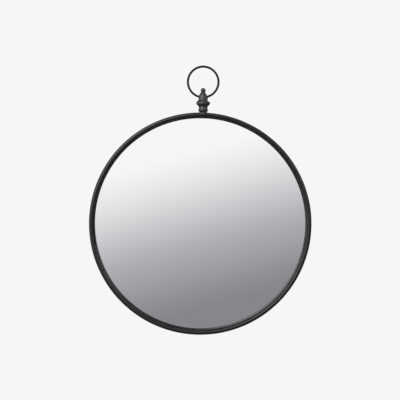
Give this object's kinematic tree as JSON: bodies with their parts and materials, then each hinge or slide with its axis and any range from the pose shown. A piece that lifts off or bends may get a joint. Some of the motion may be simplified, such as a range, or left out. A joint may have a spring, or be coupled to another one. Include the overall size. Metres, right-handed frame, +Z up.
{
  "type": "round wall mirror",
  "caption": "Round wall mirror in a black tubular steel hoop, with a turned finial and a swinging ring on top and a keyhole hanger behind.",
  "frame": {"origin": "centre of the hoop, on the plane of the wall, which is the back edge of the rim", "axes": "+Z up, through the finial's side; +Y into the wall, so the glass faces -Y; +X to the viewer's right"},
  "size_m": [0.5999, 0.0419, 0.7257],
  "materials": {
    "black_powder_coat": "satin black powder coat on steel",
    "black_cast_metal": "satin black paint on turned metal",
    "mirror_glass": "clear float glass, silvered behind",
    "foam_strip": "black closed-cell foam",
    "backing_board": "brown hardboard, smooth side out",
    "zinc_plated_steel": "bright zinc plate",
    "rubber": "matt black rubber"
  },
  "bodies": {
    "frame": {"hoop_tube": "black_powder_coat", "angle_ring": "black_powder_coat", "glazing_strip": "foam_strip", "mirror_glass": "mirror_glass", "backing_board": "backing_board", "button_lugs": "black_powder_coat", "button_washers": "zinc_plated_steel", "button_screws": "zinc_plated_steel", "hanger_lugs": "black_powder_coat", "hanger_plate": "zinc_plated_steel", "hanger_screws": "zinc_plated_steel", "bumpers": "rubber", "finial": "black_cast_metal", "finial_stud": "zinc_plated_steel"},
    "ring": {"hanging_ring": "black_powder_coat"},
    "button_1": {"turn_button_1": "zinc_plated_steel"},
    "button_2": {"turn_button_2": "zinc_plated_steel"},
    "button_3": {"turn_button_3": "zinc_plated_steel"},
    "button_4": {"turn_button_4": "zinc_plated_steel"},
    "button_5": {"turn_button_5": "zinc_plated_steel"},
    "button_6": {"turn_button_6": "zinc_plated_steel"}
  },
  "joints": [
    {"name": "ring_swing", "type": "hinge", "parent": "frame", "child": "ring", "pos_m": [0.0078, -0.0232, 0.34171], "axis": [1, 0, 0], "range_deg": [-148, 168.5]},
    {"name": "button_1_turn", "type": "hinge", "parent": "frame", "child": "button_1", "pos_m": [0.14675, -0.00635, 0.25418], "axis": [0, 1, 0], "range_deg": [-90, 90]},
    {"name": "button_2_turn", "type": "hinge", "parent": "frame", "child": "button_2", "pos_m": [0.2935, -0.00635, 0], "axis": [0, 1, 0], "range_deg": [-90, 90]},
    {"name": "button_3_turn", "type": "hinge", "parent": "frame", "child": "button_3", "pos_m": [0.14675, -0.00635, -0.25418], "axis": [0, 1, 0], "range_deg": [-90, 90]},
    {"name": "button_4_turn", "type": "hinge", "parent": "frame", "child": "button_4", "pos_m": [-0.14675, -0.00635, -0.25418], "axis": [0, 1, 0], "range_deg": [-90, 90]},
    {"name": "button_5_turn", "type": "hinge", "parent": "frame", "child": "button_5", "pos_m": [-0.2935, -0.00635, 0], "axis": [0, 1, 0], "range_deg": [-90, 90]},
    {"name": "button_6_turn", "type": "hinge", "parent": "frame", "child": "button_6", "pos_m": [-0.14675, -0.00635, 0.25418], "axis": [0, 1, 0], "range_deg": [-90, 90]}
  ]
}
